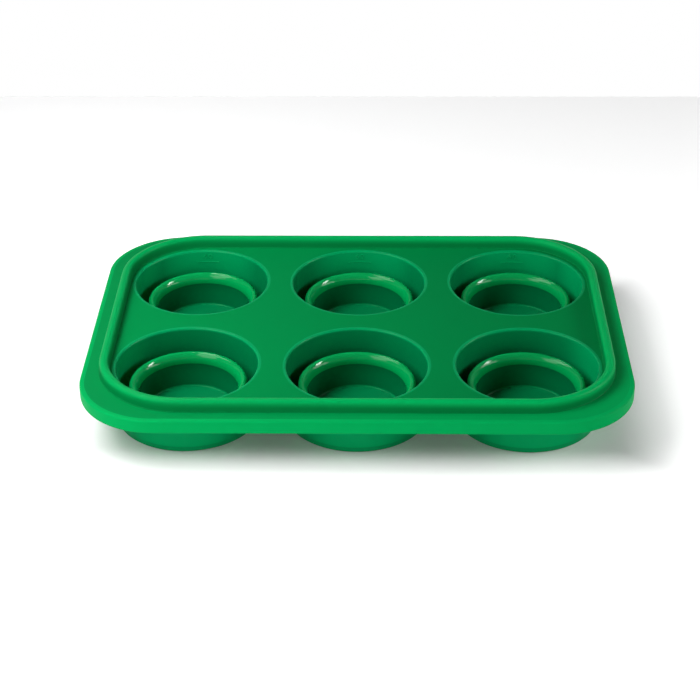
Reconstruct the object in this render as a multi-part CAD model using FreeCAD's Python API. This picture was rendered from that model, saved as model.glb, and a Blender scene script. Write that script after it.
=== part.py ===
import FreeCAD, Part
import math
import os

# Silicone freezer tray with six push-up cups. Millimetres, +Z up. The tray stands on z = 0, its
# rows of cups run along X, and the row of cups with fill marks lies towards +Y.

# ---- driving dimensions -------------------------------------------------------------------
# Cups
CUP_COLUMNS = 3
CUP_ROWS = 2
CUP_R = 34.1             # inside radius of a cup, just under its rounded lip
CUP_WALL = 1.7
CUP_DRAFT = 1.2          # degrees, narrower towards the foot
CUP_GAP_X = 10.4         # web between the outsides of neighbouring cups in a row
CUP_GAP_Y = 11.6         # web between the two rows
LIP_ROUND = 1.0
DECK_HEIGHT = 27.6       # top of the deck above the resting plane

# Push-up base: a gutter, a fold that stands up from it, and a thin sleeve that hangs inside
GUTTER_WIDTH = 5.55      # from the cup wall to the fold, at lip level
FOOT_THICKNESS = 1.6
FOOT_ROUND = 1.2
FOLD_DROP = 9.3          # crest of the fold below the deck
FOLD_WIDTH = 4.55        # across the fold, from the gutter to its throat
FOLD_HEIGHT = 4.6        # crest of the fold above the top of the sleeve
FOLD_ROUND = 1.65        # rounding of the crest. A wider bend leads from it into the throat
HOOP_WALL = 1.55         # outer leg of the fold
SLEEVE_WALL = 1.05       # the thin leg, which rolls over the crest
PASS_CLEARANCE = 1.1     # all round the floor where it passes through the fold
FLOOR_THICKNESS = 1.4
FLOOR_LIFT = 0.3         # the floor's underside above the resting plane
FLOOR_ROUND = 0.4

# Deck and rim
DECK_THICKNESS = 2.0
BEAD_GAP_X = 1.25        # deck left between the end cups and the bead
BEAD_GAP_Y = 2.2
BEAD_WIDTH = 4.9
BEAD_RISE = 5.9          # above the deck
BEAD_DRAFT = 3.0         # degrees, each side
BEAD_ROUND = 1.75
LEDGE_WIDTH = 8.0        # from the bead to the outer edge
SKIRT_WALL = 2.3
SKIRT_HEIGHT = 6.9
SKIRT_ROUND = 0.8
RIM_CORNER_R = 38.1

# Fill marks, raised on the walls of the back row
MARK_DROP = 6.4          # fill line below the deck
MARK_LENGTH = 12.6
MARK_STROKE = 0.4
MARK_RAISE = 0.3
DIGIT_HEIGHT = 2.8
DIGIT_WIDTH = 1.9
DIGIT_GAP = 0.9
DIGIT_RISE = 1.9         # foot of the digits above the fill line

# ---- derived sizes ------------------------------------------------------------------------
CUP_OUTER_R = CUP_R + CUP_WALL
PITCH_X = 2 * CUP_OUTER_R + CUP_GAP_X
PITCH_Y = 2 * CUP_OUTER_R + CUP_GAP_Y
BEAD_INSET = LEDGE_WIDTH + BEAD_WIDTH
HALF_X = PITCH_X * (CUP_COLUMNS - 1) / 2 + CUP_OUTER_R + BEAD_GAP_X + BEAD_INSET
HALF_Y = PITCH_Y * (CUP_ROWS - 1) / 2 + CUP_OUTER_R + BEAD_GAP_Y + BEAD_INSET
DECK_CORNER_R = CUP_OUTER_R + min(BEAD_GAP_X, BEAD_GAP_Y)
BEAD_CORNER_R = DECK_CORNER_R + BEAD_WIDTH
DECK_UNDERSIDE = DECK_HEIGHT - DECK_THICKNESS
LIP_Z = DECK_HEIGHT - LIP_ROUND
DRAFT_SLOPE = math.tan(math.radians(CUP_DRAFT))
FOOT_INNER_R = CUP_R - (LIP_Z - FOOT_THICKNESS) * DRAFT_SLOPE
FOOT_OUTER_R = FOOT_INNER_R + CUP_WALL
HOOP_OUTER_R = CUP_R - GUTTER_WIDTH
HOOP_INNER_R = HOOP_OUTER_R - HOOP_WALL
CREST_R = HOOP_OUTER_R - FOLD_ROUND
CREST_Z = DECK_HEIGHT - FOLD_DROP
THROAT_R = HOOP_OUTER_R - FOLD_WIDTH
SLEEVE_TOP = CREST_Z - FOLD_HEIGHT
FLOOR_R = THROAT_R - PASS_CLEARANCE
FLOOR_TOP = FLOOR_LIFT + FLOOR_THICKNESS
MARK_Z = DECK_HEIGHT - MARK_DROP

UP = FreeCAD.Vector(0, 0, 1)
BACK = FreeCAD.Vector(0, 1, 0)
ORIGIN = FreeCAD.Vector(0, 0, 0)


# ---- helpers ------------------------------------------------------------------------------
def cup_centres():
    """Yield (number, x, y, row). Row 0 is at the back, and numbers run from -X along each row."""
    number = 0
    for row in range(CUP_ROWS):
        for column in range(CUP_COLUMNS):
            number += 1
            x = (column - (CUP_COLUMNS - 1) / 2) * PITCH_X
            y = ((CUP_ROWS - 1) / 2 - row) * PITCH_Y
            yield number, x, y, row


def face(start, *steps):
    """Closed face in the XZ plane. A step is a point (x, z) for a line, or arc() for an arc."""
    edges = []
    here = FreeCAD.Vector(start[0], 0, start[1])
    for step in steps + (start,):
        if isinstance(step[0], tuple):
            (middle_x, middle_z), (end_x, end_z) = step
            there = FreeCAD.Vector(end_x, 0, end_z)
            edges.append(Part.Arc(here, FreeCAD.Vector(middle_x, 0, middle_z), there).toShape())
        else:
            there = FreeCAD.Vector(step[0], 0, step[1])
            if there.distanceToPoint(here) > 1e-7:
                edges.append(Part.LineSegment(here, there).toShape())
        here = there
    return Part.Face(Part.Wire(edges))


def on_circle(centre_x, centre_z, radius, degrees):
    """Point (x, z) on a circle."""
    angle = math.radians(degrees)
    return (centre_x + radius * math.cos(angle), centre_z + radius * math.sin(angle))


def arc(centre_x, centre_z, radius, from_degrees, to_degrees):
    """Step for face(): the middle and the end of an arc that starts at the last point."""
    middle = on_circle(centre_x, centre_z, radius, (from_degrees + to_degrees) / 2)
    return (middle, on_circle(centre_x, centre_z, radius, to_degrees))


def spun(profile):
    """Revolve a profile about Z."""
    return profile.revolve(ORIGIN, UP, 360)


def rim_loop(profile, inset, corner_r):
    """Carry a profile round the tray. Its x is measured outwards from a line that runs inside
    the rim's edge, by the inset, and turns its corners on the given radius."""
    pieces = []
    reach_x = HALF_X - inset - corner_r
    reach_y = HALF_Y - inset - corner_r
    corners = [(reach_x, reach_y), (-reach_x, reach_y), (-reach_x, -reach_y), (reach_x, -reach_y)]
    for quarter, (x, y) in enumerate(corners):
        section = profile.copy()
        section.translate(FreeCAD.Vector(corner_r, 0, 0))
        section.rotate(ORIGIN, UP, 90 * quarter)
        section.translate(FreeCAD.Vector(x, y, 0))
        pieces.append(section.revolve(FreeCAD.Vector(x, y, 0), UP, 90))
        angle = math.radians(90 * quarter)
        backwards = FreeCAD.Vector(math.sin(angle), -math.cos(angle), 0)
        run = 2 * (reach_x if quarter % 2 else reach_y)
        pieces.append(section.extrude(backwards * run))
    return pieces[0].fuse(pieces[1:]).removeSplitter()


# ---- deck and rim -------------------------------------------------------------------------
def plate_inside(inset, corner_r):
    """Plate as thick as the deck, inside the rim's edge by the inset."""
    reach_x = HALF_X - inset
    reach_y = HALF_Y - inset
    low_corner = FreeCAD.Vector(-reach_x, -reach_y, DECK_UNDERSIDE)
    plate = Part.makeBox(2 * reach_x, 2 * reach_y, DECK_THICKNESS, low_corner)
    upright = [edge for edge in plate.Edges if abs(edge.tangentAt(edge.FirstParameter).z) > 0.9]
    return plate.makeFillet(corner_r, upright)


def deck():
    """Flat web that carries the cups, with a hole for each cup wall. Its corners run round the
    corner cups."""
    plate = plate_inside(BEAD_INSET, DECK_CORNER_R)
    for _, x, y, _ in cup_centres():
        centre = FreeCAD.Vector(x, y, DECK_UNDERSIDE)
        plate = plate.cut(Part.makeCylinder(CUP_OUTER_R, DECK_THICKNESS, centre))
    return plate


def lid_bead():
    """Rounded bead that a lid presses on to, rooted in the thickness of the deck."""
    outer = BEAD_WIDTH
    inner = 0
    straight = BEAD_RISE - BEAD_ROUND
    lean = straight * math.tan(math.radians(BEAD_DRAFT))
    round_z = DECK_HEIGHT + straight
    outer_top = outer - lean - BEAD_ROUND
    inner_top = inner + lean + BEAD_ROUND
    return rim_loop(face(
        (inner, DECK_UNDERSIDE),
        (outer, DECK_UNDERSIDE),
        (outer, DECK_HEIGHT),
        (outer - lean, round_z),
        arc(outer_top, round_z, BEAD_ROUND, 0, 90),
        (inner_top, DECK_HEIGHT + BEAD_RISE),
        arc(inner_top, round_z, BEAD_ROUND, 90, 180),
        (inner, DECK_HEIGHT)), BEAD_INSET, DECK_CORNER_R)


def rim_ledge():
    """Flat ledge between the bead and the skirt, wider at the corners."""
    plate = plate_inside(SKIRT_WALL, RIM_CORNER_R - SKIRT_WALL)
    return plate.cut(plate_inside(LEDGE_WIDTH, BEAD_CORNER_R))


def rim_skirt():
    """Turned-down outer edge, with its corners eased."""
    bottom = DECK_HEIGHT - SKIRT_HEIGHT
    ease = min(SKIRT_ROUND, 0.4 * SKIRT_WALL)
    return rim_loop(face(
        (-SKIRT_WALL, bottom + ease),
        arc(-SKIRT_WALL + ease, bottom + ease, ease, 180, 270),
        (-ease, bottom),
        arc(-ease, bottom + ease, ease, 270, 360),
        (0, DECK_HEIGHT - ease),
        arc(-ease, DECK_HEIGHT - ease, ease, 0, 90),
        (-SKIRT_WALL, DECK_HEIGHT)), 0, RIM_CORNER_R)


# ---- fill marks ---------------------------------------------------------------------------
def bar(x, z, width, height):
    """Straight stroke: a rectangle centred on (x, z)."""
    return face(
        (x - width / 2, z - height / 2),
        (x + width / 2, z - height / 2),
        (x + width / 2, z + height / 2),
        (x - width / 2, z + height / 2))


def bow(x, z, radius, from_degrees, to_degrees):
    """Curved stroke: part of a ring about (x, z)."""
    outer = radius + MARK_STROKE / 2
    inner = radius - MARK_STROKE / 2
    return face(
        on_circle(x, z, outer, from_degrees),
        arc(x, z, outer, from_degrees, to_degrees),
        on_circle(x, z, inner, to_degrees),
        arc(x, z, inner, to_degrees, from_degrees))


def digit_zero(x, foot_z):
    """Strokes of a 0 centred on x."""
    bend = (DIGIT_WIDTH - MARK_STROKE) / 2
    low = foot_z + DIGIT_WIDTH / 2
    high = foot_z + DIGIT_HEIGHT - DIGIT_WIDTH / 2
    side_height = high - low
    return [
        bow(x, high, bend, 0, 180),
        bow(x, low, bend, 180, 360),
        bar(x - bend, (low + high) / 2, MARK_STROKE, side_height),
        bar(x + bend, (low + high) / 2, MARK_STROKE, side_height)]


def digit_six(x, foot_z):
    """Strokes of a 6 centred on x: a round bowl, and a stem that curls over it."""
    bend = (DIGIT_WIDTH - MARK_STROKE) / 2
    bowl_z = foot_z + DIGIT_WIDTH / 2
    tip_x = DIGIT_WIDTH / 4
    tip_rise = DIGIT_HEIGHT - (DIGIT_WIDTH + MARK_STROKE) / 2
    offset = (tip_x ** 2 + tip_rise ** 2 - bend ** 2) / (2 * (bend + tip_x))
    tip_degrees = math.degrees(math.atan2(tip_rise, tip_x - offset))
    return [
        bow(x, bowl_z, bend, 0, 180),
        bow(x, bowl_z, bend, 180, 360),
        bow(x + offset, bowl_z, bend + offset, tip_degrees, 180)]


def fill_mark():
    """Line and figure, standing proud of the inside of a cup wall and rooted in it."""
    root = CUP_WALL / 2
    low = MARK_Z - DIGIT_HEIGHT
    high = LIP_Z
    low_r = CUP_R - (LIP_Z - low) * DRAFT_SLOPE
    skin = spun(face(
        (low_r - MARK_RAISE, low),
        (low_r + root, low),
        (CUP_R + root, high),
        (CUP_R - MARK_RAISE, high)))
    spacing = (DIGIT_WIDTH + DIGIT_GAP) / 2
    foot_z = MARK_Z + DIGIT_RISE
    strokes = [bar(0, MARK_Z, MARK_LENGTH, MARK_STROKE)]
    strokes += digit_six(-spacing, foot_z)
    strokes += digit_zero(spacing, foot_z)
    solids = [stroke.extrude(BACK * CUP_OUTER_R) for stroke in strokes]
    return skin.common(solids[0].fuse(solids[1:]))


# ---- one cup, about the origin ------------------------------------------------------------
def cup_wall():
    """Drafted outer wall with a rounded lip. It fills its hole in the deck."""
    return spun(face(
        (FOOT_INNER_R, FOOT_THICKNESS),
        (FOOT_OUTER_R, FOOT_THICKNESS),
        (CUP_OUTER_R, DECK_UNDERSIDE),
        (CUP_OUTER_R, DECK_HEIGHT),
        (CUP_R + LIP_ROUND, DECK_HEIGHT),
        arc(CUP_R + LIP_ROUND, LIP_Z, LIP_ROUND, 90, 180)))


def marked_cup_wall():
    """Cup wall with the fill mark."""
    return cup_wall().fuse(fill_mark()).removeSplitter()


def foot_ring():
    """Bottom of the gutter, on which the tray stands."""
    ease = min(FOOT_ROUND, 0.8 * FOOT_THICKNESS)
    return spun(face(
        (HOOP_INNER_R, 0),
        (FOOT_OUTER_R - ease, 0),
        arc(FOOT_OUTER_R - ease, ease, ease, 270, 360),
        (FOOT_OUTER_R, FOOT_THICKNESS),
        (HOOP_INNER_R, FOOT_THICKNESS)))


def roll_ring():
    """Outer leg of the fold and its round crest, hollow below between the two legs."""
    axis_z = CREST_Z - FOLD_ROUND
    rise = axis_z - SLEEVE_TOP
    reach = CREST_R - THROAT_R
    wide_round = (reach ** 2 + rise ** 2 - FOLD_ROUND ** 2) / (2 * (reach - FOLD_ROUND))
    wide_axis_r = THROAT_R + wide_round
    meet = math.degrees(math.atan2(rise, CREST_R - wide_axis_r))
    slot_r = (HOOP_INNER_R - THROAT_R - SLEEVE_WALL) / 2
    return spun(face(
        (HOOP_INNER_R, FOOT_THICKNESS),
        (HOOP_OUTER_R, FOOT_THICKNESS),
        (HOOP_OUTER_R, axis_z),
        arc(CREST_R, axis_z, FOLD_ROUND, 0, meet),
        arc(wide_axis_r, SLEEVE_TOP, wide_round, meet, 180),
        (THROAT_R + SLEEVE_WALL, SLEEVE_TOP),
        arc(HOOP_INNER_R - slot_r, SLEEVE_TOP, slot_r, 180, 0)))


def inner_sleeve():
    """Thin inner leg of the fold, from the crest down to the floor."""
    return spun(face(
        (FLOOR_R - SLEEVE_WALL, FLOOR_TOP),
        (FLOOR_R, FLOOR_TOP),
        (THROAT_R + SLEEVE_WALL, SLEEVE_TOP),
        (THROAT_R, SLEEVE_TOP)))


def push_floor():
    """Round floor that a finger pushes up from below."""
    ease = min(FLOOR_ROUND, 0.8 * FLOOR_THICKNESS)
    return spun(face(
        (0, FLOOR_LIFT),
        (FLOOR_R - ease, FLOOR_LIFT),
        arc(FLOOR_R - ease, FLOOR_LIFT + ease, ease, 270, 360),
        (FLOOR_R, FLOOR_TOP),
        (0, FLOOR_TOP)))


# ---- the whole tray -----------------------------------------------------------------------
def tray():
    """All nodes by name."""
    nodes = {
        "deck": deck(),
        "lid_bead": lid_bead(),
        "rim_ledge": rim_ledge(),
        "rim_skirt": rim_skirt()}
    plain_wall = cup_wall()
    marked_wall = marked_cup_wall()
    base = {
        "foot_ring": foot_ring(),
        "roll_ring": roll_ring(),
        "inner_sleeve": inner_sleeve(),
        "push_floor": push_floor()}
    for number, x, y, row in cup_centres():
        cup = dict(base, cup_wall=marked_wall if row == 0 else plain_wall)
        for name, shape in cup.items():
            nodes[f"{name}_{number}"] = shape.translated(FreeCAD.Vector(x, y, 0))
    return nodes


os.makedirs("parts", exist_ok=True)
for node, shape in tray().items():
    shape.exportStep(f"parts/{node}.step")
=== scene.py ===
"""Silicone freezer tray with six push-up cups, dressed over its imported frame."""

import math

import bmesh
import bpy
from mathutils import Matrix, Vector
from mathutils.geometry import tessellate_polygon


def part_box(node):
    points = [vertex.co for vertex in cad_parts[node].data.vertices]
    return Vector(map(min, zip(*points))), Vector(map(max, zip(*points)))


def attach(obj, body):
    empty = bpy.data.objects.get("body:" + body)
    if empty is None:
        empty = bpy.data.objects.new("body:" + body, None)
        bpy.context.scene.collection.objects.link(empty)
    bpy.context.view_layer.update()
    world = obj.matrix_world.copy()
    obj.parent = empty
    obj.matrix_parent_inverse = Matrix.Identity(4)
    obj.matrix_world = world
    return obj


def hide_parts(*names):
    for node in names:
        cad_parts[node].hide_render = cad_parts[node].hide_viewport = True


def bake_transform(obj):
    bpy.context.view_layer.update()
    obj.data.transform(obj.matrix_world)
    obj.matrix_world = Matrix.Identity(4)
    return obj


bl_info = {
    "name": "Push-up Freezer Tray",
    "version": (1, 0, 0),
    "blender": (4, 5, 0),
    "location": "3D View > Sidebar > Tray",
    "description": "Moulds a silicone freezer tray with six push-up cups",
    "category": "Add Mesh",
}

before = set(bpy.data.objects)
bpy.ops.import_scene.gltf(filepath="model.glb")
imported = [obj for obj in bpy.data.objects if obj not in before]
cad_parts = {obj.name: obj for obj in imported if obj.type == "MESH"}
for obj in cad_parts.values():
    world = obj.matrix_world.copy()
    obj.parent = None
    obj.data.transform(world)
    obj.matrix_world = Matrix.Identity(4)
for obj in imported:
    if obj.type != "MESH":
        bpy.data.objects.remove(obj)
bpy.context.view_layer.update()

MM = 0.001

# ---- places read from the frame -------------------------------------------------------------
SKIRT_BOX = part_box("rim_skirt")
LEDGE_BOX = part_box("rim_ledge")
BEAD_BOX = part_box("lid_bead")
DECK_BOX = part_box("deck")
HALF_X = SKIRT_BOX[1].x
HALF_Y = SKIRT_BOX[1].y
DECK_TOP = DECK_BOX[1].z
DECK_UNDER = DECK_BOX[0].z
BEAD_TOP = BEAD_BOX[1].z
SKIRT_LOW = SKIRT_BOX[0].z
SKIRT_INSET = HALF_X - LEDGE_BOX[1].x          # inside of the skirt, from the tray's outer edge
BEAD_OUTER_INSET = HALF_X - BEAD_BOX[1].x      # foot of the bead, from the same edge
BEAD_INNER_INSET = HALF_X - DECK_BOX[1].x

FLOORS = [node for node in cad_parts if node.startswith("push_floor_")]
CUPS = sorted(int(node.rsplit("_", 1)[1]) for node in FLOORS)     # the cups' numbers


def radius_of(node):
    """Outer radius of a round CAD node."""
    low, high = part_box(node)
    return (high.x - low.x) / 2


def centre_of(cup):
    """Axis of a cup, on the plane that the tray stands on."""
    low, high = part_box(f"push_floor_{cup}")
    return Vector(((low.x + high.x) / 2, (low.y + high.y) / 2, 0))


CUP_OUTER = radius_of("cup_wall_1")
FOOT_OUTER = radius_of("foot_ring_1")
HOOP_OUTER = radius_of("roll_ring_1")
FLOOR_OUTER = radius_of("push_floor_1")
FLOOR_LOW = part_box("push_floor_1")[0].z
FLOOR_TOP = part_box("push_floor_1")[1].z
GUTTER_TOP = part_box("foot_ring_1")[1].z
CREST_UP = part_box("roll_ring_1")[1].z
SLEEVE_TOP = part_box("inner_sleeve_1")[1].z
SLEEVE_OUTER = radius_of("inner_sleeve_1")
BACK_ROW_Y = max(centre_of(cup).y for cup in CUPS)
END_CUP_X = max(centre_of(cup).x for cup in CUPS)
DECK_CORNER = DECK_BOX[1].x - END_CUP_X        # the deck's corners run round the corner cups


# ---- sizes and colours that a user can change -----------------------------------------------
def length(name, description, default):
    """Distance property, written in millimetres."""
    return bpy.props.FloatProperty(
        name=name, description=description, default=default * MM, min=0, precision=5,
        unit="LENGTH", subtype="DISTANCE")


def tilt(name, description, default):
    """Angle property, written in degrees."""
    return bpy.props.FloatProperty(
        name=name, description=description, default=math.radians(default), min=0, subtype="ANGLE")


def share(name, description, default):
    """Number from 0 to 1."""
    return bpy.props.FloatProperty(
        name=name, description=description, default=default, min=0, max=1, subtype="FACTOR")


def colour(name, description, default):
    """Linear colour."""
    return bpy.props.FloatVectorProperty(
        name=name, description=description, default=default, min=0, max=1, size=3, subtype="COLOR")


def power(name, description, default):
    """Lamp power in watts."""
    return bpy.props.FloatProperty(
        name=name, description=description, default=default, min=0, unit="POWER")


class RimSizes(bpy.types.PropertyGroup):
    corner: length("Corner radius", "Plan radius of the outer edge", 38.1)
    bead_round: length("Bead shoulder", "Rounding of each shoulder of the bead", 1.75)
    bead_draft: tilt("Bead draft", "Lean of each side of the bead", 3)
    bead_crown: length("Bead crown", "How far the crest of the bead swells between its shoulders", 0.12)
    root_fillet: length("Root fillet", "Hollow fillet where the bead meets the deck and ledge", 0.5)
    edge_round: length("Edge rounding", "Rounding of the top outer edge of the skirt", 0.8)
    hem_round: length("Hem rounding", "Rounding of the two lower edges of the skirt", 0.9)
    inside_fillet: length("Inside fillet", "Hollow fillet under the ledge, inside the skirt", 0.8)


class CupSizes(bpy.types.PropertyGroup):
    wall: length("Wall", "Thickness of a cup's outer wall", 1.7)
    lip: length("Lip", "Rounding of the mouth of a cup", 1.0)
    draft: tilt("Draft", "Lean of the cup wall, narrower below", 1.2)
    hoop_wall: length("Hoop wall", "Thickness of the stiff outer leg of the fold", 1.55)
    sleeve_wall: length("Sleeve wall", "Thickness of the thin sleeve that rolls over the fold", 1.05)
    fold_round: length("Fold rounding", "Rounding of the fold on its outer side", 1.65)
    gutter_fillet: length("Gutter fillet", "Hollow fillets at the bottom of the gutter", 1.2)
    foot_round: length("Foot rounding", "Rounding of the outer edge of the foot", 1.2)
    floor_fillet: length("Floor fillet", "Hollow fillet between the floor and its sleeve", 0.8)


class MarkSizes(bpy.types.PropertyGroup):
    drop: length("Drop", "Fill line below the deck", 6.4)
    line: length("Line length", "Length of the fill line round the wall", 12.6)
    stroke: length("Stroke", "Width of a raised stroke", 0.45)
    proud: length("Height", "How far a stroke stands off the wall", 0.3)
    digit_height: length("Digit height", "Height of the figures", 2.8)
    digit_width: length("Digit width", "Width of one figure", 1.9)
    digit_gap: length("Digit gap", "Space between the figures", 0.9)
    digit_rise: length("Digit rise", "Foot of the figures above the fill line", 1.9)


class SiliconeLook(bpy.types.PropertyGroup):
    green: colour("Green", "Colour of the pigmented silicone", (0.0, 0.255, 0.062))
    cup_green: colour("Cup green", "Colour inside the cups, a little cooler", (0.0, 0.255, 0.08))
    satin: share("Satin roughness", "Roughness of the blasted mould faces", 0.5)
    cup: share("Cup roughness", "Roughness inside the cups", 0.3)
    polish: share("Polished roughness", "Roughness of the fold, whose core is polished", 0.07)


class StudioLook(bpy.types.PropertyGroup):
    top: power("Top softbox", "Softbox high on the left", 1.8)
    left: power("Left softbox", "Softbox on the left", 1.1)
    front: power("Front strip", "Long strip in front of the tray", 1.15)
    right: power("Right strip", "Low strip on the right", 1.3)
    side: power("Side lamp", "Lamp on the right that gives reflections only", 24.0)
    back: power("Back lamp", "Lamp behind that gives reflections only", 5.0)
    room: share("Room light", "Strength of the room that fills the shadows", 0.02)


# ---- node trees written as expressions ------------------------------------------------------
class Number:
    """Number inside a node tree. Arithmetic on it adds Math nodes."""

    def __init__(self, tree, socket):
        self.tree = tree
        self.socket = socket

    def __add__(self, other):
        return self.tree.math("ADD", self, other)

    def __sub__(self, other):
        return self.tree.math("SUBTRACT", self, other)

    def __rsub__(self, other):
        return self.tree.math("SUBTRACT", other, self)

    def __mul__(self, other):
        return self.tree.math("MULTIPLY", self, other)

    __radd__ = __add__
    __rmul__ = __mul__


class Tree:
    """Node tree of a material or of the world."""

    def __init__(self, owner):
        owner.use_nodes = True
        self.tree = owner.node_tree
        self.tree.nodes.clear()

    def node(self, kind, settings=None, sockets=None):
        """Add a node. Its settings are set first, then its sockets by name or number."""
        node = self.tree.nodes.new(kind)
        for name, value in (settings or {}).items():
            setattr(node, name, value)
        for name, value in (sockets or {}).items():
            self.feed(node.inputs[name], value)
        return node

    def feed(self, socket, value):
        """Link a number or an output to a socket, or set the socket to a plain value."""
        if isinstance(value, Number):
            value = value.socket
        if isinstance(value, bpy.types.NodeSocket):
            self.tree.links.new(value, socket)
        else:
            socket.default_value = value

    def math(self, operation, *values):
        """Math node on one, two or three numbers."""
        node = self.node("ShaderNodeMath", {"operation": operation}, dict(enumerate(values)))
        return Number(self, node.outputs[0])

    def noise(self, place, scale, detail=2.0):
        """Soft noise from 0 to 1. The scale is in features per metre."""
        node = self.node("ShaderNodeTexNoise", None, {"Vector": place, "Scale": scale, "Detail": detail})
        return Number(self, node.outputs[0])

    def mix_colours(self, mask, first, second):
        """Colour that runs from the first to the second as the mask goes from 0 to 1."""
        node = self.node("ShaderNodeMix", {"data_type": "RGBA"}, {0: mask, 6: first, 7: second})
        return node.outputs[2]

    def step(self, value, start, end):
        """Smooth mask that rises from 0 at start to 1 at end."""
        node = self.node(
            "ShaderNodeMapRange", {"interpolation_type": "SMOOTHSTEP"},
            {"Value": value, "From Min": start, "From Max": end})
        return Number(self, node.outputs[0])

    def axis(self, place, number):
        """One coordinate of a place: 0, 1 or 2 for X, Y or Z."""
        return Number(self, self.node("ShaderNodeSeparateXYZ", None, {0: place}).outputs[number])


# ---- finishes -------------------------------------------------------------------------------
# Noises, in features per metre
CLOUD = 28                # cloudy pigment
SMUDGE = 65               # uneven sheen
BLAST = 2600              # grain of the blasted mould
RIPPLE = 130              # slow unevenness of the mould

# Heights of the relief
BLAST_HEIGHT = 0.012 * MM
RIPPLE_HEIGHT = 0.03 * MM
RING_HEIGHT = 0.004 * MM
TOOL_FEED = 0.35 * MM     # spacing of the rings that a lathe left in the mould

SILICONE_IOR = 1.41
PIGMENT_SPREAD = 0.03     # share by which the pigment is lighter or darker
SHEEN_SPREAD = 0.12       # share by which the roughness is more or less
RUBBED_SHEEN = 0.12       # how much roughness a rubbed place has lost


def tinted(green, factor):
    """The silicone's colour, lighter or darker by a factor, with full opacity."""
    return (*(min(1.0, channel * factor) for channel in green), 1.0)


def moulded_silicone(
        name, green, roughness, gloss, tone=1.0, changes=(), grain=1.0, turned=None, rubbed=None):
    """Green silicone as it leaves the mould: cloudy pigment, uneven sheen and the mould's fine grain.

    Silicone is translucent, so a thin wall looks deeper in colour than a thick one, and one with open
    air behind it looks lighter: tone is a factor on the colour of the part, and each change leads to
    another tone where its mask rises. Some tones and changes also hold painted light and shade:
    colour made lighter where light falls and darker where it doesn't. Gloss is the specular level,
    and grain the depth of the blasted grain. Turned gives the rings of a lathe, and rubbed is the mask
    of a place that wear has smoothed. A mask is a function of the tree and the place.
    """
    material = bpy.data.materials.get(name) or bpy.data.materials.new(name)
    tree = Tree(material)
    place = tree.node("ShaderNodeTexCoord").outputs["Object"]
    cloud = tree.noise(place, CLOUD, 3)
    smudge = tree.noise(place, SMUDGE, 4)
    blasted = tree.noise(place, BLAST, 2)
    ripple = tree.noise(place, RIPPLE, 1)
    deeper = tinted(green, tone * (1 - PIGMENT_SPREAD))
    lighter = tinted(green, tone * (1 + PIGMENT_SPREAD))
    colour = tree.mix_colours(cloud, deeper, lighter)
    for mask, changed_tone in changes:
        colour = tree.mix_colours(mask(tree, place), colour, tinted(green, changed_tone))
    sheen = (smudge * (2 * SHEEN_SPREAD) + (1 - SHEEN_SPREAD)) * roughness
    if rubbed:
        sheen = sheen - rubbed(tree, place) * RUBBED_SHEEN
    height = blasted * (BLAST_HEIGHT * grain) + ripple * RIPPLE_HEIGHT
    if turned:
        height = height + turned(tree, place) * RING_HEIGHT
    bump = tree.node("ShaderNodeBump", None, {"Strength": 1.0, "Distance": 1.0, "Height": height})
    surface = tree.node("ShaderNodeBsdfPrincipled", None, {
        "Base Color": colour,
        "Roughness": sheen,
        "IOR": SILICONE_IOR,
        "Specular IOR Level": gloss,
        "Normal": bump.outputs[0]})
    tree.node("ShaderNodeOutputMaterial", None, {"Surface": surface.outputs[0]})
    return material


def above(low, high):
    """Mask that rises between two levels."""
    def mask(tree, place):
        return tree.step(tree.axis(place, 2), low, high)
    return mask


def towards_x(start, end):
    """Mask that rises towards +X, between two places."""
    def mask(tree, place):
        return tree.step(tree.axis(place, 0), start, end)
    return mask


def both(first, second):
    """Mask that rises where two others do."""
    def mask(tree, place):
        return first(tree, place) * second(tree, place)
    return mask


def near_rim(far, near):
    """Mask that rises towards the outside of the tray, between two distances from its edge."""
    def mask(tree, place):
        from_side = HALF_X - tree.math("ABSOLUTE", tree.axis(place, 0))
        from_end = HALF_Y - tree.math("ABSOLUTE", tree.axis(place, 1))
        return 1 - tree.step(tree.math("MINIMUM", from_side, from_end), near, far)
    return mask


def wall_rings(tree, place):
    """Tool rings up a turned wall."""
    return tree.math("SINE", tree.axis(place, 2) * (2 * math.pi / TOOL_FEED))


def face_rings(tree, place):
    """Tool rings on a turned face, outwards from each cup's axis."""
    pitch_x = centre_of(CUPS[1]).x - centre_of(CUPS[0]).x
    from_axis_x = tree.math("WRAP", tree.axis(place, 0), pitch_x / 2, -pitch_x / 2)
    from_axis_y = tree.math("WRAP", tree.axis(place, 1) + BACK_ROW_Y, BACK_ROW_Y, -BACK_ROW_Y)
    out = tree.math("SQRT", from_axis_x * from_axis_x + from_axis_y * from_axis_y)
    return tree.math("SINE", out * (2 * math.pi / TOOL_FEED))


def satin_deck():
    """Finish of the deck, a thin web over the hollow underside. Its colour deepens towards +X, which
    is painted shade: the light falls off towards that side.
    """
    look = bpy.context.scene.silicone_look
    # Painted shade: the deck darkens towards +X, where the light falls off.
    painted_shade_towards_x = (towards_x(-80 * MM, 125 * MM), 0.84)
    return moulded_silicone(
        "satin_deck_silicone", look.green, look.satin, gloss=0.02, changes=[painted_shade_towards_x])


def satin_ledge():
    """Finish of the ledge. Its colour lightens towards +X, which is painted light from that side."""
    look = bpy.context.scene.silicone_look
    # Painted light: the ledge lightens towards +X, as if lit from that side.
    painted_light_towards_x = (towards_x(-HALF_X, HALF_X), 1.3)
    return moulded_silicone(
        "satin_ledge_silicone", look.green, look.satin, gloss=0.03, changes=[painted_light_towards_x])


def satin_skirt():
    """Finish of the skirt, the lightest part, with open air behind it. Part of its lightness is painted
    light, for what the white table throws up on to it.
    """
    look = bpy.context.scene.silicone_look
    # Its tone of 1.5 is partly painted light from the table below.
    return moulded_silicone("satin_skirt_silicone", look.green, look.satin, gloss=0.03, tone=1.5)


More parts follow.
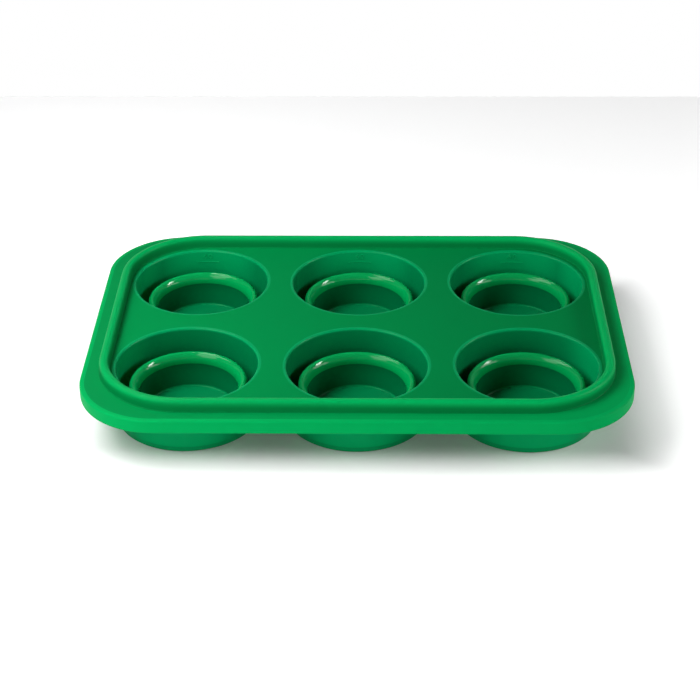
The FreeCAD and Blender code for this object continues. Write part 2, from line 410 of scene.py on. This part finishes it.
def satin_bead():
    """Finish of the bead, a little smoother on its crest, where lids have rubbed it.

    The crest is lighter than the sides, and lightens towards +X: painted light on the crest, more of
    it towards +X, and painted shade on the darker sides.
    """
    look = bpy.context.scene.silicone_look
    rise = BEAD_TOP - DECK_TOP
    crest = above(DECK_TOP + rise * 0.3, BEAD_TOP)
    painted_light_crest_towards_x = both(crest, towards_x(-HALF_X, HALF_X))
    # Painted shade: tone 0.8 darkens the sides; painted light: the crest is lighter, more so towards +X.
    return moulded_silicone(
        "satin_bead_silicone", look.green, look.satin, gloss=0.04, tone=0.8,
        changes=[(crest, 1.36), (painted_light_crest_towards_x, 1.65)],
        rubbed=above(DECK_TOP + rise * 0.5, BEAD_TOP))


def cup_finish():
    """Finish of the cup walls, from a turned mould. Near the tray's outer sides they are lighter, which
    is painted light for the light that comes in through those sides. The lip is thicker than the wall
    and lighter too, partly as a painted highlight on its rounding.
    """
    look = bpy.context.scene.silicone_look
    # Painted light near the outer sides; a lighter lip, thicker there and partly a painted highlight.
    painted_light_outer_side = (near_rim(32 * MM, 17 * MM), 1.42)
    thick_lip_and_painted_highlight = (above(DECK_TOP - 1.6 * MM, DECK_TOP - 0.3 * MM), 1.25)
    return moulded_silicone(
        "turned_cup_silicone", look.cup_green, look.cup, gloss=0.06, tone=0.87,
        changes=[painted_light_outer_side, thick_lip_and_painted_highlight], grain=0.6, turned=wall_rings)


def foot_finish():
    """Finish of the feet."""
    look = bpy.context.scene.silicone_look
    return moulded_silicone(
        "foot_silicone", look.cup_green, look.cup, gloss=0.08, tone=1.05, grain=0.6)


def floor_finish():
    """Finish of the floors, faced on a lathe."""
    look = bpy.context.scene.silicone_look
    return moulded_silicone(
        "faced_floor_silicone", look.cup_green, look.cup, gloss=0.06, tone=0.9, grain=0.6,
        turned=face_rings)


def polished_fold():
    """Finish of the folds, from polished mould cores."""
    look = bpy.context.scene.silicone_look
    return moulded_silicone(
        "polished_fold_silicone", look.green, look.polish, gloss=0.22, tone=1.42, grain=0.05)


def polished_sleeve():
    """Finish of the thin sleeves, from the same polished cores."""
    look = bpy.context.scene.silicone_look
    return moulded_silicone(
        "polished_sleeve_silicone", look.cup_green, look.polish, gloss=0.1, tone=0.54, grain=0.05)


# ---- outlines and shapes --------------------------------------------------------------------
CUP_STEPS = 160           # round a cup
CORNER_STEPS = 32         # round one corner of the rim
SIDE_STEPS = 24           # along one side of the rim
BEND_STEP = math.radians(12)
GUARD = 0.1 * MM          # a point this near each end of a straight run keeps its shading flat
SHARP_EDGE = math.radians(32)
SAME_POINT = 1e-7         # two points this near are one


class Outline:
    """Cross-section of a moulded piece: points (across, up), joined by straight runs and round bends."""

    def __init__(self, across, up):
        self.points = [Vector((across, up))]

    def run(self, across, up):
        """Straight run to a point."""
        start = self.points[-1]
        end = Vector((across, up))
        reach = (end - start).length
        if reach > 4 * GUARD:
            inset = (end - start) * (GUARD / reach)
            self.points += [start + inset, end - inset]
        self.points.append(end)
        return self

    def bend(self, across, up, radius, begin, finish):
        """Round bend about a centre, from one angle to another, in degrees."""
        begin, finish = math.radians(begin), math.radians(finish)
        steps = max(3, math.ceil(abs(finish - begin) / BEND_STEP))
        for step in range(steps + 1):
            angle = begin + (finish - begin) * step / steps
            point = Vector((across + radius * math.cos(angle), up + radius * math.sin(angle)))
            if (point - self.points[-1]).length > SAME_POINT:
                self.points.append(point)
        return self

    def curve(self, points):
        """Smooth stretch through points that follow a formula."""
        self.points += [Vector(point) for point in points]
        return self

    def about(self, centre):
        """Rings of this outline, turned about an upright axis. A point on the axis stays a point."""
        rings = []
        for across, up in self.points:
            turns = [2 * math.pi * step / CUP_STEPS for step in range(CUP_STEPS if across > 0 else 1)]
            rings.append([centre + Vector((across * math.cos(a), across * math.sin(a), up)) for a in turns])
        return rings

    def along_rim(self, corner):
        """Rings of this outline, carried round the tray. Across counts outwards from the rim's edge."""
        return [rim_ring(across, up, corner) for across, up in self.points]

    def between(self, start, end, inner_corner, outer_corner):
        """Rings whose corners widen from those of one line, at start, to those of another, at end."""
        rings = []
        for across, up in self.points:
            share_out = min(1, (across - start) / (end - start))
            rings.append(rim_ring(across, up, inner_corner + (outer_corner - inner_corner) * share_out))
        return rings


def rim_ring(across, up, corner):
    """Closed line round the tray. The corner is the radius that it would have at the outer edge."""
    reach = Vector((HALF_X - corner, HALF_Y - corner))
    signs = [(1, 1), (-1, 1), (-1, -1), (1, -1)]
    arcs = []
    for quarter, (sign_x, sign_y) in enumerate(signs):
        centre = Vector((sign_x * reach.x, sign_y * reach.y, up))
        angles = [math.pi / 2 * (quarter + step / CORNER_STEPS) for step in range(CORNER_STEPS + 1)]
        arcs.append([centre + (corner + across) * Vector((math.cos(a), math.sin(a), 0)) for a in angles])
    ring = []
    for arc, following in zip(arcs, arcs[1:] + arcs[:1]):
        ring += arc
        ring += [arc[-1].lerp(following[0], step / SIDE_STEPS) for step in range(1, SIDE_STEPS)]
    return ring


def shell(rings, closed=True):
    """Skin over rings of points. A closed outline joins its last ring to its first."""
    shape = bmesh.new()
    rows = [[shape.verts.new(point) for point in ring] for ring in rings]
    following = rows[1:] + rows[:1] if closed else rows[1:]
    for near, far in zip(rows, following):
        for step in range(max(len(near), len(far))):
            corners = [near[step % len(near)], near[(step + 1) % len(near)]]
            corners += [far[(step + 1) % len(far)], far[step % len(far)]]
            shape.faces.new(dict.fromkeys(corners))
    return shape


def plate(loops, low, high):
    """Flat plate between two levels. The first loop is its edge and the others are holes in it."""
    shape = bmesh.new()
    corners = [point for loop in loops for point in loop]
    lower = [shape.verts.new((point.x, point.y, low)) for point in corners]
    upper = [shape.verts.new((point.x, point.y, high)) for point in corners]
    for triangle in tessellate_polygon(loops):
        shape.faces.new([upper[index] for index in triangle])
        shape.faces.new([lower[index] for index in reversed(triangle)])
    start = 0
    for loop in loops:
        for step in range(len(loop)):
            here, there = start + step, start + (step + 1) % len(loop)
            shape.faces.new([lower[here], lower[there], upper[there], upper[here]])
        start += len(loop)
    return shape


def make(node, shape, finish):
    """Turn a shape into the piece that stands for a CAD node."""
    name = f"moulded_{node}"
    if name in bpy.data.objects:
        bpy.data.objects.remove(bpy.data.objects[name])
    bmesh.ops.recalc_face_normals(shape, faces=shape.faces)
    mesh = bpy.data.meshes.new(name)
    shape.to_mesh(mesh)
    shape.free()
    mesh.shade_smooth()
    mesh.set_sharp_from_angle(angle=SHARP_EDGE)
    mesh.materials.append(finish)
    piece = bpy.data.objects.new(name, mesh)
    bpy.context.scene.collection.objects.link(piece)
    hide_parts(node)
    return piece


# ---- pieces of the rim ----------------------------------------------------------------------
BEAD_CORNER = DECK_CORNER + BEAD_INNER_INSET     # the bead's corners, measured at the outer edge
CROWN_STEPS = 8           # across the crest of the bead


class TRAY_OT_deck(bpy.types.Operator):
    """Mould the flat deck between the cups"""
    bl_idname = "tray.deck"
    bl_label = "Deck"

    def execute(self, context):
        rim = context.scene.rim_sizes
        edge = rim_ring(-BEAD_INNER_INSET - rim.root_fillet - GUARD, DECK_TOP, BEAD_CORNER)
        holes = [Outline(CUP_OUTER, DECK_TOP).about(centre_of(cup))[0] for cup in CUPS]
        shape = plate([edge] + holes, DECK_UNDER, DECK_TOP)
        piece = make("deck", shape, satin_deck())
        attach(piece, "tray")
        return {"FINISHED"}


class TRAY_OT_bead(bpy.types.Operator):
    """Mould the bead that a lid presses on to"""
    bl_idname = "tray.bead"
    bl_label = "Lid bead"

    def execute(self, context):
        rim = context.scene.rim_sizes
        fillet = rim.root_fillet
        shoulder = rim.bead_round
        slope = math.tan(rim.bead_draft)
        lean = math.degrees(rim.bead_draft)
        shoulder_up = BEAD_TOP - rim.bead_crown - shoulder
        root_up = DECK_TOP + fillet
        outer = -BEAD_OUTER_INSET
        inner = -BEAD_INNER_INSET
        set_in = (shoulder_up - DECK_TOP) * slope + shoulder
        outer_axis = outer - set_in
        inner_axis = inner + set_in
        middle = (outer_axis + inner_axis) / 2
        half = outer_axis - middle
        crown = []
        for step in range(1, CROWN_STEPS):
            aside = 1 - 2 * step / CROWN_STEPS
            crown.append((middle + half * aside, BEAD_TOP - rim.bead_crown * aside ** 2))
        outline = Outline(inner - fillet - GUARD, DECK_UNDER)
        outline.run(outer + fillet + GUARD, DECK_UNDER)
        outline.run(outer + fillet + GUARD, DECK_TOP)
        outline.bend(outer + fillet, root_up, fillet, 270, 180)
        outline.bend(outer_axis, shoulder_up, shoulder, lean, 90)
        outline.curve(crown)
        outline.bend(inner_axis, shoulder_up, shoulder, 90, 180 - lean)
        outline.bend(inner - fillet, root_up, fillet, 0, -90)
        outline.run(inner - fillet - GUARD, DECK_TOP)
        shape = shell(outline.along_rim(BEAD_CORNER))
        piece = make("lid_bead", shape, satin_bead())
        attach(piece, "tray")
        return {"FINISHED"}


class TRAY_OT_ledge(bpy.types.Operator):
    """Mould the ledge between the bead and the skirt"""
    bl_idname = "tray.ledge"
    bl_label = "Ledge"

    def execute(self, context):
        rim = context.scene.rim_sizes
        inner = -BEAD_OUTER_INSET + rim.root_fillet + GUARD
        outer = -SKIRT_INSET
        fillet = rim.inside_fillet
        outline = Outline(inner, DECK_UNDER)
        outline.run(outer - fillet, DECK_UNDER)
        outline.bend(outer - fillet, DECK_UNDER - fillet, fillet, 90, 0)
        outline.run(outer, DECK_UNDER - fillet - GUARD)
        outline.run(outer, DECK_TOP)
        outline.run(inner, DECK_TOP)
        shape = shell(outline.between(inner, outer - fillet, BEAD_CORNER, rim.corner))
        piece = make("rim_ledge", shape, satin_ledge())
        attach(piece, "tray")
        return {"FINISHED"}


class TRAY_OT_skirt(bpy.types.Operator):
    """Mould the turned-down outer edge"""
    bl_idname = "tray.skirt"
    bl_label = "Skirt"

    def execute(self, context):
        rim = context.scene.rim_sizes
        edge = rim.edge_round
        hem = rim.hem_round
        inner = -SKIRT_INSET
        top = DECK_UNDER - rim.inside_fillet - GUARD
        outline = Outline(inner, top)
        outline.run(inner, SKIRT_LOW + hem)
        outline.bend(inner + hem, SKIRT_LOW + hem, hem, 180, 270)
        outline.run(-hem, SKIRT_LOW)
        outline.bend(-hem, SKIRT_LOW + hem, hem, -90, 0)
        outline.run(0, DECK_TOP - edge)
        outline.bend(-edge, DECK_TOP - edge, edge, 0, 90)
        outline.run(inner, DECK_TOP)
        shape = shell(outline.along_rim(rim.corner))
        piece = make("rim_skirt", shape, satin_skirt())
        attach(piece, "tray")
        return {"FINISHED"}


# ---- pieces of a cup ------------------------------------------------------------------------
FOOT_CUT = 0.2 * MM       # height of plain wall that the foot keeps above its fillets
SLEEVE_CUT = SLEEVE_TOP - 4 * GUARD     # level at which the fold ends and the sleeve begins
EASE = 0.4 * MM           # rounding of an edge underneath
SLEEVE_STEPS = 28         # down a sleeve


def wall_inner(up, cup_sizes):
    """Inside radius of the drafted wall at a height."""
    lip_up = DECK_TOP - cup_sizes.lip
    return CUP_OUTER - cup_sizes.wall - (lip_up - up) * math.tan(cup_sizes.draft)


def wall_outer(up):
    """Outside radius of the drafted wall at a height."""
    share_up = (up - GUTTER_TOP) / (DECK_UNDER - GUTTER_TOP)
    return FOOT_OUTER + (CUP_OUTER - FOOT_OUTER) * share_up


def foot_cut_up(cup_sizes):
    """Height at which the foot ends and the wall and hoop begin."""
    return GUTTER_TOP + cup_sizes.gutter_fillet + FOOT_CUT


class TRAY_OT_walls(bpy.types.Operator):
    """Mould the outer walls of the cups, with fill marks on the back row"""
    bl_idname = "tray.walls"
    bl_label = "Cup walls"

    def execute(self, context):
        sizes = context.scene.cup_sizes
        cut = foot_cut_up(sizes)
        lip_up = DECK_TOP - sizes.lip
        mouth = CUP_OUTER - sizes.wall
        under = context.scene.rim_sizes.inside_fillet
        under_r = wall_outer(DECK_UNDER - under)
        outline = Outline(wall_inner(cut, sizes), cut)
        outline.run(mouth, lip_up)
        outline.bend(mouth + sizes.lip, lip_up, sizes.lip, 180, 90)
        outline.run(CUP_OUTER, DECK_TOP)
        outline.run(CUP_OUTER, DECK_UNDER)
        outline.run(under_r + under, DECK_UNDER)
        outline.bend(under_r + under, DECK_UNDER - under, under, 90, 180)
        outline.run(wall_outer(cut), cut)
        for cup in CUPS:
            centre = centre_of(cup)
            shape = shell(outline.about(centre))
            if centre.y > 0:
                add_fill_mark(shape, centre, context.scene.mark_sizes, sizes)
            piece = make(f"cup_wall_{cup}", shape, cup_finish())
            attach(piece, "tray")
        return {"FINISHED"}


class TRAY_OT_feet(bpy.types.Operator):
    """Mould the gutter bottoms that the tray stands on"""
    bl_idname = "tray.feet"
    bl_label = "Feet"

    def execute(self, context):
        sizes = context.scene.cup_sizes
        cut = foot_cut_up(sizes)
        fillet = sizes.gutter_fillet
        fillet_up = GUTTER_TOP + fillet
        foot = sizes.foot_round
        hoop_inner = HOOP_OUTER - sizes.hoop_wall
        outline = Outline(hoop_inner, cut)
        outline.run(hoop_inner, EASE)
        outline.bend(hoop_inner + EASE, EASE, EASE, 180, 270)
        outline.run(FOOT_OUTER - foot, 0)
        outline.bend(FOOT_OUTER - foot, foot, foot, -90, 0)
        outline.run(wall_outer(cut), cut)
        outline.run(wall_inner(cut, sizes), cut)
        outline.run(wall_inner(fillet_up, sizes), fillet_up)
        outline.bend(wall_inner(fillet_up, sizes) - fillet, fillet_up, fillet, 0, -90)
        outline.run(HOOP_OUTER + fillet, GUTTER_TOP)
        outline.bend(HOOP_OUTER + fillet, fillet_up, fillet, 270, 180)
        outline.run(HOOP_OUTER, cut)
        for cup in CUPS:
            shape = shell(outline.about(centre_of(cup)))
            piece = make(f"foot_ring_{cup}", shape, foot_finish())
            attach(piece, "tray")
        return {"FINISHED"}


class TRAY_OT_folds(bpy.types.Operator):
    """Mould the stiff hoops with their round, polished crests"""
    bl_idname = "tray.folds"
    bl_label = "Folds"

    def execute(self, context):
        sizes = context.scene.cup_sizes
        cut = foot_cut_up(sizes)
        hoop_inner = HOOP_OUTER - sizes.hoop_wall
        throat = SLEEVE_OUTER - sizes.sleeve_wall
        crest = HOOP_OUTER - sizes.fold_round
        crest_axis_up = CREST_UP - sizes.fold_round
        rise = crest_axis_up - SLEEVE_TOP
        reach = crest - throat
        past_round = reach - sizes.fold_round
        wide_round = (reach ** 2 + rise ** 2 - sizes.fold_round ** 2) / (2 * past_round)
        meet = math.degrees(math.atan2(rise, reach - wide_round))
        slot_round = (hoop_inner - SLEEVE_OUTER) / 2
        outline = Outline(HOOP_OUTER, cut)
        outline.run(HOOP_OUTER, crest_axis_up)
        outline.bend(crest, crest_axis_up, sizes.fold_round, 0, meet)
        outline.bend(throat + wide_round, SLEEVE_TOP, wide_round, meet, 180)
        outline.run(throat, SLEEVE_CUT)
        outline.run(SLEEVE_OUTER, SLEEVE_CUT)
        outline.run(SLEEVE_OUTER, SLEEVE_TOP)
        outline.bend(SLEEVE_OUTER + slot_round, SLEEVE_TOP, slot_round, 180, 0)
        outline.run(hoop_inner, cut)
        for cup in CUPS:
            shape = shell(outline.about(centre_of(cup)))
            piece = make(f"roll_ring_{cup}", shape, polished_fold())
            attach(piece, "tray")
        return {"FINISHED"}


class TRAY_OT_sleeves(bpy.types.Operator):
    """Mould the thin sleeves, which on the real tray roll over the folds as the floors move; here they stay
    put
    """
    bl_idname = "tray.sleeves"
    bl_label = "Sleeves"

    def execute(self, context):
        sizes = context.scene.cup_sizes
        wall = sizes.sleeve_wall
        low = FLOOR_TOP + sizes.floor_fillet + GUARD
        throat = SLEEVE_OUTER - wall
        floor_inner = FLOOR_OUTER - wall
        inside = []
        for step in range(SLEEVE_STEPS + 1):
            drop = step / SLEEVE_STEPS
            across = throat - (throat - floor_inner) * drop * drop * (2 - drop)
            inside.append((across, SLEEVE_CUT + (low - SLEEVE_CUT) * drop))
        outline = Outline(*inside[0]).curve(inside[1:])
        outline.curve([(across + wall, up) for across, up in reversed(inside)])
        for cup in CUPS:
            centre = centre_of(cup)
            shape = shell(outline.about(centre))
            piece = make(f"inner_sleeve_{cup}", shape, polished_sleeve())
            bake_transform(piece)
        return {"FINISHED"}


class TRAY_OT_floors(bpy.types.Operator):
    """Mould the round floors that a finger pushes up"""
    bl_idname = "tray.floors"
    bl_label = "Push-up floors"

    def execute(self, context):
        sizes = context.scene.cup_sizes
        fillet = sizes.floor_fillet
        inner = FLOOR_OUTER - sizes.sleeve_wall
        outline = Outline(0, FLOOR_TOP)
        outline.run(inner - fillet, FLOOR_TOP)
        outline.bend(inner - fillet, FLOOR_TOP + fillet, fillet, -90, 0)
        outline.run(inner, FLOOR_TOP + fillet + GUARD)
        outline.run(FLOOR_OUTER, FLOOR_TOP + fillet + GUARD)
        outline.run(FLOOR_OUTER, FLOOR_LOW + EASE)
        outline.bend(FLOOR_OUTER - EASE, FLOOR_LOW + EASE, EASE, 0, -90)
        outline.run(0, FLOOR_LOW)
        for cup in CUPS:
            shape = shell(outline.about(centre_of(cup)), closed=False)
            piece = make(f"push_floor_{cup}", shape, floor_finish())
            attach(piece, f"floor_{cup}")
        return {"FINISHED"}


# ---- fill marks -----------------------------------------------------------------------------
BOW_STEP = 15             # degrees of a curved stroke from point to point
LINE_STEPS = 24           # along the fill line
STROKE_STEPS = 8          # over the rounded back of a stroke


def bow(x, up, radius, begin, finish):
    """Points of a curved stroke, in degrees."""
    steps = max(4, round(abs(finish - begin) / BOW_STEP))
    angles = [math.radians(begin + (finish - begin) * step / steps) for step in range(steps + 1)]
    return [Vector((x + radius * math.cos(angle), up + radius * math.sin(angle))) for angle in angles]


def zero(x, foot, marks):
    """Stroke of a 0: two bows joined by straight sides."""
    bend = (marks.digit_width - marks.stroke) / 2
    low = foot + marks.digit_width / 2
    high = foot + marks.digit_height - marks.digit_width / 2
    loop = bow(x, high, bend, 0, 180) + bow(x, low, bend, 180, 360)
    return loop + loop[:1]


def six(x, foot, marks):
    """Stroke of a 6: a stem that curls down into a round bowl."""
    bend = (marks.digit_width - marks.stroke) / 2
    bowl = foot + marks.digit_width / 2
    tip_x = marks.digit_width / 4
    tip_rise = marks.digit_height - (marks.digit_width + marks.stroke) / 2
    offset = (tip_x ** 2 + tip_rise ** 2 - bend ** 2) / (2 * (bend + tip_x))
    tip_degrees = math.degrees(math.atan2(tip_rise, tip_x - offset))
    stem = bow(x + offset, bowl, bend + offset, tip_degrees, 180)
    return stem + bow(x, bowl, bend, 180, 540)[1:]


def add_fill_mark(shape, centre, marks, cup_sizes):
    """Add the fill line and its figures to the inside of a wall, on the side towards +Y."""
    line_up = DECK_TOP - marks.drop
    foot = line_up + marks.digit_rise
    spacing = (marks.digit_width + marks.digit_gap) / 2
    half_line = (marks.line - marks.stroke) / 2
    across = [half_line * (2 * step / LINE_STEPS - 1) for step in range(LINE_STEPS + 1)]
    line = [Vector((x, line_up)) for x in across]
    for path in (line, six(-spacing, foot, marks), zero(spacing, foot, marks)):
        add_stroke(shape, path, centre, marks, cup_sizes)


def add_stroke(shape, path, centre, marks, cup_sizes):
    """Add one rounded stroke that follows a path on the wall: across, up."""
    half = marks.stroke / 2
    rings = []
    for index, point in enumerate(path):
        ahead = path[min(index + 1, len(path) - 1)]
        behind = path[max(index - 1, 0)]
        heading = (ahead - behind).normalized()
        aside = Vector((-heading.y, heading.x))
        ring = [(point + aside * half, -marks.proud), (point - aside * half, -marks.proud)]
        for step in range(STROKE_STEPS + 1):
            turn = math.pi * (1 - step / STROKE_STEPS)
            ring.append((point + aside * (half * math.cos(turn)), marks.proud * math.sin(turn)))
        rings.append([on_wall(place, height, centre, cup_sizes) for place, height in ring])
    rows = [[shape.verts.new(point) for point in ring] for ring in rings]
    for near, far in zip(rows, rows[1:]):
        for step in range(len(near)):
            following = (step + 1) % len(near)
            shape.faces.new([near[step], near[following], far[following], far[step]])
    shape.faces.new(rows[0])
    shape.faces.new(list(reversed(rows[-1])))


def on_wall(place, height, centre, cup_sizes):
    """Point on the inside of a cup wall: so far round it, at a level, and so high off it."""
    radius = wall_inner(place.y, cup_sizes) - height
    turn = place.x / (CUP_OUTER - cup_sizes.wall)
    return centre + Vector((radius * math.sin(turn), radius * math.cos(turn), place.y))


# ---- studio ---------------------------------------------------------------------------------
CAMERA_PLACE = (0.01120, -0.77138, 0.47087)
CAMERA_TURN = (59.191, 0.364, 0.917)     # degrees about X, Y and Z
CAMERA_LENS = 91.11                      # millimetres
CAMERA_SENSOR = 36                       # millimetres

# Place, width and height of each lamp
TOP_SOFTBOX = ((-0.3, 0.0, 0.43), 0.28, 0.28)
LEFT_SOFTBOX = ((-0.31, -0.26, 0.33), 0.25, 0.25)
FRONT_STRIP = ((0.0, -0.58, 0.11), 0.8, 0.14)
RIGHT_STRIP = ((0.56, -0.05, 0.22), 0.4, 0.14)
SIDE_LAMP = ((1.49, 0.13, 1.08), 0.36, 0.5)
BACK_LAMP = ((-0.365, 0.73, 1.28), 0.14, 0.46)

TABLE_EDGE_Y = 0.356                     # far edge of the table that the tray stands on
TABLE_HALF = 2.0                         # half the table's width, and its reach forwards
TABLE_DROP = 0.05 * MM                   # gap that keeps the table clear of the feet
TABLE_PAINT = (0.9, 0.9, 0.9, 1)
WHITE = (1, 1, 1, 1)
GLOW_BESIDE = (-0.012, 0.03)             # the glow rises between these distances past the ends
GLOW_BEFORE = (-0.022, 0.008)            # of the tray, and between these past its front and back
GLOW_UNDER = 0.02                        # strength of the glow under the tray
GLOW_AWAY = 0.52                         # what it gains away from the tray

ROOM_FADE = (0.1, 0.5)                   # the room dims as the view rises between these heights
ROOM_DIMMING = 0.8


def panel(name, place, width, height, watts):
    """Softbox at a place, turned to face the tray."""
    light = bpy.data.lights.new(name, "AREA")
    light.shape = "RECTANGLE"
    light.size = width
    light.size_y = height
    light.energy = watts
    lamp = bpy.data.objects.new(name, light)
    lamp.location = place
    lamp.rotation_euler = Vector(place).to_track_quat("Z", "Y").to_euler()
    bpy.context.scene.collection.objects.link(lamp)
    return lamp


def seen(tree):
    """Mask of the rays that show a thing itself: 1 for the camera, for a reflection and through glass."""
    rays = tree.node("ShaderNodeLightPath").outputs
    mirrored = tree.math("MAXIMUM", rays["Is Glossy Ray"], rays["Is Transmission Ray"])
    return tree.math("MAXIMUM", rays["Is Camera Ray"], mirrored)


class TRAY_OT_stage(bpy.types.Operator):
    """Set up the table, the pale room, the softboxes and the camera"""
    bl_idname = "tray.stage"
    bl_label = "Studio"

    def execute(self, context):
        studio = context.scene.studio_look
        context.scene.view_settings.view_transform = "Standard"
        self.table()
        self.room(context, studio)
        panel("top_softbox", *TOP_SOFTBOX, studio.top)
        panel("left_softbox", *LEFT_SOFTBOX, studio.left)
        panel("front_strip", *FRONT_STRIP, studio.front)
        panel("right_strip", *RIGHT_STRIP, studio.right)
        # These two give no diffuse light, only reflections. They show most in the polished folds.
        panel("side_lamp", *SIDE_LAMP, studio.side).visible_diffuse = False
        panel("back_lamp", *BACK_LAMP, studio.back).visible_diffuse = False
        self.camera(context)
        return {"FINISHED"}

    def table(self):
        """White table top, with its far edge behind the tray. Away from the tray it glows white; near and
        under the tray the glow is held low, so the dark band round the tray is partly painted shadow.
        """
        mesh = bpy.data.meshes.new("table_top")
        corners = [(-TABLE_HALF, -TABLE_HALF, 0), (TABLE_HALF, -TABLE_HALF, 0)]
        corners += [(TABLE_HALF, TABLE_EDGE_Y, 0), (-TABLE_HALF, TABLE_EDGE_Y, 0)]
        mesh.from_pydata(corners, [], [(0, 1, 2, 3)])
        table = bpy.data.objects.new("table_top", mesh)
        table.location.z = -TABLE_DROP
        bpy.context.scene.collection.objects.link(table)
        white = bpy.data.materials.new("white_table")
        tree = Tree(white)
        place = tree.node("ShaderNodeTexCoord").outputs["Object"]
        beyond_x = tree.math("ABSOLUTE", tree.axis(place, 0)) - HALF_X
        beyond_y = tree.math("ABSOLUTE", tree.axis(place, 1)) - HALF_Y
        # The glow is held low near the tray, which paints part of the shadow round it.
        beside = tree.step(beyond_x, *GLOW_BESIDE)
        before = tree.step(beyond_y, *GLOW_BEFORE)
        strength = tree.math("MAXIMUM", beside, before) * GLOW_AWAY + GLOW_UNDER
        paint = tree.node("ShaderNodeBsdfDiffuse", None, {"Color": TABLE_PAINT})
        glow = tree.node("ShaderNodeEmission", None, {"Color": WHITE, "Strength": strength})
        lit = tree.node("ShaderNodeAddShader", None, {0: paint.outputs[0], 1: glow.outputs[0]})
        surface = tree.node(
            "ShaderNodeMixShader", None, {0: seen(tree), 1: paint.outputs[0], 2: lit.outputs[0]})
        tree.node("ShaderNodeOutputMaterial", None, {"Surface": surface.outputs[0]})
        mesh.materials.append(white)

    def room(self, context, studio):
        """Room that is seen white low down and dimmer overhead, and that hardly lights the tray."""
        world = bpy.data.worlds.new("pale_room")
        context.scene.world = world
        tree = Tree(world)
        direction = tree.node("ShaderNodeTexCoord").outputs["Generated"]
        height = tree.node("ShaderNodeSeparateXYZ", None, {0: direction}).outputs[2]
        overhead = tree.step(height, *ROOM_FADE)
        pale = 1 - overhead * ROOM_DIMMING
        strength = seen(tree) * (pale - studio.room) + studio.room
        glow = tree.node("ShaderNodeBackground", None, {"Color": WHITE, "Strength": strength})
        tree.node("ShaderNodeOutputWorld", None, {"Surface": glow.outputs[0]})

    def camera(self, context):
        """Camera above the front of the tray, looking down at it."""
        camera = bpy.data.cameras.new("camera")
        camera.lens = CAMERA_LENS
        camera.sensor_width = CAMERA_SENSOR
        camera.clip_start = 0.01
        view = bpy.data.objects.new("camera", camera)
        view.location = CAMERA_PLACE
        view.rotation_euler = [math.radians(turn) for turn in CAMERA_TURN]
        context.scene.collection.objects.link(view)
        context.scene.camera = view


# ---- panel and registration -----------------------------------------------------------------
SETTINGS = {
    "rim_sizes": RimSizes,
    "cup_sizes": CupSizes,
    "mark_sizes": MarkSizes,
    "silicone_look": SiliconeLook,
    "studio_look": StudioLook,
}
MAKERS = [
    TRAY_OT_deck, TRAY_OT_bead, TRAY_OT_ledge, TRAY_OT_skirt, TRAY_OT_walls,
    TRAY_OT_feet, TRAY_OT_folds, TRAY_OT_sleeves, TRAY_OT_floors, TRAY_OT_stage,
]


class TRAY_PT_maker(bpy.types.Panel):
    """Buttons for each piece of the tray, and the sizes and colours behind them"""
    bl_idname = "TRAY_PT_maker"
    bl_label = "Freezer Tray"
    bl_space_type = "VIEW_3D"
    bl_region_type = "UI"
    bl_category = "Tray"

    def draw(self, context):
        for maker in MAKERS:
            self.layout.operator(maker.bl_idname)
        for name, group in SETTINGS.items():
            box = self.layout.box()
            box.label(text=name.replace("_", " ").capitalize())
            for setting in group.__annotations__:
                box.prop(getattr(context.scene, name), setting)


def register():
    for group in SETTINGS.values():
        bpy.utils.register_class(group)
    for name, group in SETTINGS.items():
        setattr(bpy.types.Scene, name, bpy.props.PointerProperty(type=group))
    for maker in MAKERS:
        bpy.utils.register_class(maker)
    bpy.utils.register_class(TRAY_PT_maker)


def unregister():
    bpy.utils.unregister_class(TRAY_PT_maker)
    for maker in reversed(MAKERS):
        bpy.utils.unregister_class(maker)
    for name in SETTINGS:
        delattr(bpy.types.Scene, name)
    for group in SETTINGS.values():
        bpy.utils.unregister_class(group)


def main():
    register()
    for maker in MAKERS:
        space, name = maker.bl_idname.split(".")
        getattr(getattr(bpy.ops, space), name)()


if __name__ == "__main__":
    main()
